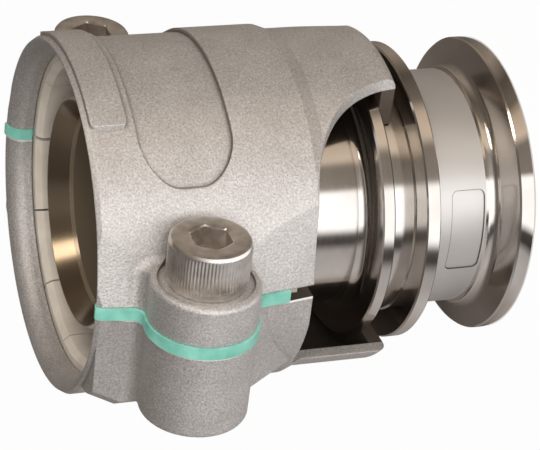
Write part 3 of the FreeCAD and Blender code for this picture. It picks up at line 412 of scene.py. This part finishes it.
# painted highlight: a near white band runs along the back half's split face, for the light its edge catches
PAINTED_SPLIT_BAND_MM = (0.95, 1.42)
axes = add_node(tree, "ShaderNodeSeparateXYZ", {0: place.outputs["Object"]})
past_split = add_node(tree, "ShaderNodeMath", {0: axes.outputs["Y"], 1: PAINTED_SPLIT_BAND_MM[0] * MM},
                      operation="GREATER_THAN")
near_split = add_node(tree, "ShaderNodeMath", {0: axes.outputs["Y"], 1: PAINTED_SPLIT_BAND_MM[1] * MM}, operation="LESS_THAN")
painted_split_band = add_node(tree, "ShaderNodeMath", {0: past_split.outputs[0], 1: near_split.outputs[0]},
                   operation="MULTIPLY")
skin = add_node(tree, "ShaderNodeMix", {"Factor": painted_split_band.outputs[0], "A": tint.outputs["Color"],
                                        "B": linear("#f6f3f0")}, data_type="RGBA")
# painted shadow: the split face itself, which looks towards -Y, is coloured dark for the shade in the gap
FACE_TURNED = -0.9
facing = add_node(tree, "ShaderNodeNewGeometry")
facing_axes = add_node(tree, "ShaderNodeSeparateXYZ", {0: facing.outputs["True Normal"]})
flat_face = add_node(tree, "ShaderNodeMath", {0: facing_axes.outputs["Y"], 1: FACE_TURNED}, operation="LESS_THAN")
split_face_shadow = add_node(tree, "ShaderNodeMath", {0: flat_face.outputs[0], 1: painted_split_band.outputs[0]},
                      operation="MULTIPLY")
with_split_shadow = add_node(tree, "ShaderNodeMix", {"Factor": split_face_shadow.outputs[0], "A": skin.outputs["Result"],
                                         "B": linear("#5a514a")}, data_type="RGBA")
# painted shade in the roots, along the panel and the recess, and faintly round the bosses, from ambient occlusion
ROOT_SHADE_MM = 0.7
ROOT_SHADE_OPEN = (0.45, 0.95)
HOLLOW_SHADE_MM = 5.0
HOLLOW_SHADE_OPEN = (0.3, 0.95)
HOLLOW_SHARE = 0.55
root_shade_ao = add_node(tree, "ShaderNodeAmbientOcclusion", {"Distance": ROOT_SHADE_MM * MM}, samples=6, only_local=True)
hollow_shade_ao = add_node(tree, "ShaderNodeAmbientOcclusion", {"Distance": HOLLOW_SHADE_MM * MM}, samples=6, only_local=True)
root_unshaded = add_node(tree, "ShaderNodeMapRange", {"Value": root_shade_ao.outputs["AO"], "From Min": ROOT_SHADE_OPEN[0],
                                              "From Max": ROOT_SHADE_OPEN[1]})
hollow_unshaded = add_node(tree, "ShaderNodeMapRange", {"Value": hollow_shade_ao.outputs["AO"], "From Min": HOLLOW_SHADE_OPEN[0],
                                                  "From Max": HOLLOW_SHADE_OPEN[1], "To Min": HOLLOW_SHARE})
unshaded_share = add_node(tree, "ShaderNodeMath", {0: root_unshaded.outputs[0], 1: hollow_unshaded.outputs[0]}, operation="MULTIPLY")
with_root_shade = add_node(tree, "ShaderNodeMix", {"Factor": unshaded_share.outputs[0], "A": linear("#665c54"),
                                             "B": with_split_shadow.outputs["Result"]}, data_type="RGBA")
# painted shade: the inside, below the sleeve's seat, is coloured dark for the shade within the casing
SHADED_INSIDE_MM = 26.62
INSIDE_TOP_MM = 60.0
flat = add_node(tree, "ShaderNodeCombineXYZ", {0: axes.outputs["X"], 1: axes.outputs["Y"]})
radius = add_node(tree, "ShaderNodeVectorMath", {0: flat.outputs[0]}, operation="LENGTH")
within = add_node(tree, "ShaderNodeMath", {0: radius.outputs["Value"], 1: SHADED_INSIDE_MM * MM},
                  operation="LESS_THAN")
under = add_node(tree, "ShaderNodeMath", {0: axes.outputs["Z"], 1: INSIDE_TOP_MM * MM}, operation="LESS_THAN")
inside = add_node(tree, "ShaderNodeMath", {0: within.outputs[0], 1: under.outputs[0]}, operation="MULTIPLY")
with_inside_shade = add_node(tree, "ShaderNodeMix", {"Factor": inside.outputs[0], "A": with_root_shade.outputs["Result"],
                                        "B": linear("#5e534a")}, data_type="RGBA")
# blasting takes the sharpness off every edge
WORN_EDGE_MM = 0.35
rough = add_node(tree, "ShaderNodeMapRange", {"Value": grain.outputs["Fac"], "To Min": 0.44, "To Max": 0.6})
soft_edge = add_node(tree, "ShaderNodeBevel", {"Radius": WORN_EDGE_MM * MM, "Normal": skin_bump.outputs[0]},
                     samples=6)
# base colour: the blasted grain with the painted highlight, painted shadow and painted shade mixed in
tree.links.new(with_inside_shade.outputs["Result"], shader.inputs["Base Color"])
tree.links.new(rough.outputs[0], shader.inputs["Roughness"])
tree.links.new(soft_edge.outputs[0], shader.inputs["Normal"])
dress("casing_front", cast)
dress("casing_back", cast)

# Grip sleeve halves
# Moulded cream resin, satin, with the faint flow clouds of a filled plastic.
CLOUD_MM = 5.0
SPECKLE_MM = 0.35
SPECKLE_DEPTH_MM = 0.02
resin, tree, shader = start_material("moulded_cream_resin", Roughness=0.48, IOR=1.48)
place = add_node(tree, "ShaderNodeTexCoord")
clouds = add_node(tree, "ShaderNodeTexNoise", {"Vector": place.outputs["Object"], "Scale": 1 / (CLOUD_MM * MM),
                                               "Detail": 4.0})
tint = add_node(tree, "ShaderNodeValToRGB", {"Fac": clouds.outputs["Fac"]})
ramp_stops(tint, [(0.35, linear("#c8beb1")), (0.65, linear("#d6cdc1"))])
speckle = add_node(tree, "ShaderNodeTexNoise", {"Vector": place.outputs["Object"], "Scale": 1 / (SPECKLE_MM * MM)})
speckle_bump = add_node(tree, "ShaderNodeBump", {"Height": speckle.outputs["Fac"], "Strength": 0.2,
                                                 "Distance": SPECKLE_DEPTH_MM * MM})
tree.links.new(tint.outputs["Color"], shader.inputs["Base Color"])
tree.links.new(speckle_bump.outputs[0], shader.inputs["Normal"])
dress("sleeve_front", resin)
dress("sleeve_back", resin)

# Spacer sheets
# Green silicone, cut from sheet: smooth and soft looking, with a faint uneven bloom and a little light in it.
LIGHT_REACH_MM = 1.0
BLOOM_MM = 3.0
DUST_MM = 0.6
DUST_DEPTH_MM = 0.02
silicone, tree, shader = start_material("green_silicone", Roughness=0.4, IOR=1.41, Subsurface_Weight=0.2,
                                        Subsurface_Scale=LIGHT_REACH_MM * MM)
place = add_node(tree, "ShaderNodeTexCoord")
bloom = add_node(tree, "ShaderNodeTexNoise", {"Vector": place.outputs["Object"], "Scale": 1 / (BLOOM_MM * MM),
                                              "Detail": 3.0})
tint = add_node(tree, "ShaderNodeValToRGB", {"Fac": bloom.outputs["Fac"]})
ramp_stops(tint, [(0.3, linear("#6ab4a3")), (0.7, linear("#8ecdbf"))])
dust = add_node(tree, "ShaderNodeTexNoise", {"Vector": place.outputs["Object"], "Scale": 1 / (DUST_MM * MM)})
dust_bump = add_node(tree, "ShaderNodeBump", {"Height": dust.outputs["Fac"], "Strength": 0.15,
                                              "Distance": DUST_DEPTH_MM * MM})
tree.links.new(tint.outputs["Color"], shader.inputs["Base Color"])
tree.links.new(dust_bump.outputs[0], shader.inputs["Normal"])
dress("spacer_left", silicone)
dress("spacer_right", silicone)

# Cap screws
# M8 socket head cap screws in stainless steel, cold headed: a straight knurl round the head above a plain foot ring,
# a turned top with a hexagon socket, and a rolled thread.
HEAD_RADIUS = 6.5 * MM
HEAD_HEIGHT = 8.0 * MM
HEAD_BEVEL = 0.7 * MM
SOCKET_HALF = 3.0 * MM
SOCKET_DEPTH = 4.2 * MM
SHANK_RADIUS = 3.95 * MM
SHANK_LENGTH = 20.0 * MM
THREAD_PITCH = 1.25 * MM
THREAD_DEPTH = 0.62 * MM
THREAD_START = 0.3 * MM
THREAD_RINGS_A_PITCH = 10
POINT_LENGTH = 1.0 * MM
KNURL_TEETH = 76
KNURL_DEPTH = 0.16 * MM
KNURL_LOW = 1.5 * MM
CREASE_DEGREES = 32
STEPS = KNURL_TEETH * 4


def cap_screw_mesh(name, axis_x, axis_z, seat_y):
    """A cap screw as one closed grid of rings about its axis, which runs along Y with the head towards -Y.

    A ring's radius is its circle, bent towards a hexagon in the socket by 1 / cos of the angle folded into one
    side, less a ridge wave on the knurl and a triangle wave that climbs one pitch a turn on the thread.
    """
    angle = np.linspace(0, 2 * math.pi, STEPS, endpoint=False)
    fold = (angle + math.pi / 6) % (math.pi / 3) - math.pi / 6
    hexagon = 1 / np.cos(fold) - 1
    ridge = 0.5 - 0.5 * np.cos(angle * KNURL_TEETH)
    # rings from the socket floor, up its wall, over the top and down the head to the foot ring: radius, height
    # above the seat, how much of a hexagon, how much knurl
    top = HEAD_HEIGHT
    rim = SOCKET_HALF / math.cos(math.pi / 6)
    head = [
        (1.2 * MM, top - SOCKET_DEPTH - 0.5 * MM, 0, 0),
        (SOCKET_HALF - 0.05 * MM, top - SOCKET_DEPTH, 1, 0),
        (SOCKET_HALF, top - SOCKET_DEPTH, 1, 0),
        (SOCKET_HALF, top - 0.35 * MM, 1, 0),
        (SOCKET_HALF + 0.03 * MM, top - 0.25 * MM, 0.9, 0),
        (rim + 0.12 * MM, top - 0.02 * MM, 0, 0),
        (rim + 0.25 * MM, top, 0, 0),
        (HEAD_RADIUS - HEAD_BEVEL - 0.3 * MM, top, 0, 0),
        (HEAD_RADIUS - HEAD_BEVEL, top - 0.04 * MM, 0, 0),
        (HEAD_RADIUS - 0.45 * HEAD_BEVEL, top - 0.25 * HEAD_BEVEL, 0, 0),
        (HEAD_RADIUS - 0.1 * HEAD_BEVEL, top - 0.75 * HEAD_BEVEL, 0, 0),
        (HEAD_RADIUS - 0.02 * MM, top - 1.1 * HEAD_BEVEL, 0, 0),
        (HEAD_RADIUS, top - 1.5 * HEAD_BEVEL, 0, 1),
        (HEAD_RADIUS, KNURL_LOW + 0.15 * MM, 0, 1),
        (HEAD_RADIUS - 0.25 * MM, KNURL_LOW - 0.1 * MM, 0, 0),
        (HEAD_RADIUS - 0.25 * MM, 0.2 * MM, 0, 0),
        (HEAD_RADIUS - 0.45 * MM, 0.0, 0, 0),
        (SHANK_RADIUS, 0.0, 0, 0),
    ]
    circle, height, hexed, knurled = (np.array(column)[:, None] for column in zip(*head))
    head_radius = circle * (1 + hexed * hexagon) - knurled * KNURL_DEPTH * ridge
    head_height = height + 0 * angle
    thread_rings = int(SHANK_LENGTH / THREAD_PITCH * THREAD_RINGS_A_PITCH)
    down = np.linspace(THREAD_START, SHANK_LENGTH, thread_rings)[:, None]
    turns = down / THREAD_PITCH - angle / (2 * math.pi)
    flank = 1 - np.abs(2 * (turns % 1) - 1)
    grow = np.clip(down / (2 * THREAD_PITCH), 0, 1)
    taper = np.clip(down - SHANK_LENGTH + POINT_LENGTH, 0, None)
    shank_radius = SHANK_RADIUS - THREAD_DEPTH * flank * grow - taper
    shank_height = -down + 0 * angle
    radii = np.concatenate([head_radius, np.minimum(shank_radius, SHANK_RADIUS)])
    heights = np.concatenate([head_height, shank_height])
    points = np.stack([axis_x + radii * np.sin(angle), seat_y - heights, axis_z + radii * np.cos(angle)], -1)
    ring_count = len(radii)
    number = np.arange(ring_count * STEPS).reshape(ring_count, STEPS)
    after = np.roll(number, -1, 1)
    walls = np.stack([number[:-1], number[1:], after[1:], after[:-1]], -1).reshape(-1, 4)
    poles = [(axis_x, seat_y - head[0][1] + 0.3 * MM, axis_z), (axis_x, seat_y + SHANK_LENGTH, axis_z)]
    first, last = ring_count * STEPS, ring_count * STEPS + 1
    caps = [(first, low, high) for low, high in zip(number[0].tolist(), after[0].tolist())]
    caps += [(last, high, low) for low, high in zip(number[-1].tolist(), after[-1].tolist())]
    mesh = bpy.data.meshes.new(name)
    mesh.from_pydata(points.reshape(-1, 3).tolist() + poles, [], walls.tolist() + caps)
    mesh.shade_smooth()
    mesh.set_sharp_from_angle(angle=math.radians(CREASE_DEGREES))
    return mesh


# Satin stainless steel of the screws: a duller mirror than the nipple's, blurred by handling and the fine forged skin
HANDLING_MM = 1.6
FORGED_MM = 0.25
FORGED_DEPTH_MM = 0.01
satin_steel, tree, shader = start_material("satin_screw_steel", Metallic=1.0)
place = add_node(tree, "ShaderNodeTexCoord")
handling = add_node(tree, "ShaderNodeTexNoise", {"Vector": place.outputs["Object"], "Scale": 1 / (HANDLING_MM * MM),
                                                 "Detail": 4.0})
tint = add_node(tree, "ShaderNodeValToRGB", {"Fac": handling.outputs["Fac"]})
ramp_stops(tint, [(0.3, linear("#cbc4bd")), (0.7, linear("#e6e2dd"))])
rough = add_node(tree, "ShaderNodeMapRange", {"Value": handling.outputs["Fac"], "To Min": 0.24, "To Max": 0.38})
fine = add_node(tree, "ShaderNodeTexNoise", {"Vector": place.outputs["Object"], "Scale": 1 / (FORGED_MM * MM)})
fine_bump = add_node(tree, "ShaderNodeBump", {"Height": fine.outputs["Fac"], "Strength": 0.2,
                                              "Distance": FORGED_DEPTH_MM * MM})
tree.links.new(tint.outputs["Color"], shader.inputs["Base Color"])
tree.links.new(rough.outputs[0], shader.inputs["Roughness"])
tree.links.new(fine_bump.outputs[0], shader.inputs["Normal"])

for side in ("left", "right"):
    low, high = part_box(f"screw_{side}")
    centre = (low + high) / 2
    seat = low.y + HEAD_HEIGHT
    screw = bpy.data.objects.new(f"cap_screw_{side}", cap_screw_mesh(f"cap_screw_{side}", centre.x, centre.z, seat))
    bpy.context.scene.collection.objects.link(screw)
    screw.data.materials.append(satin_steel)
    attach(screw, f"{side}_screw_body")
    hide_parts(f"screw_{side}")
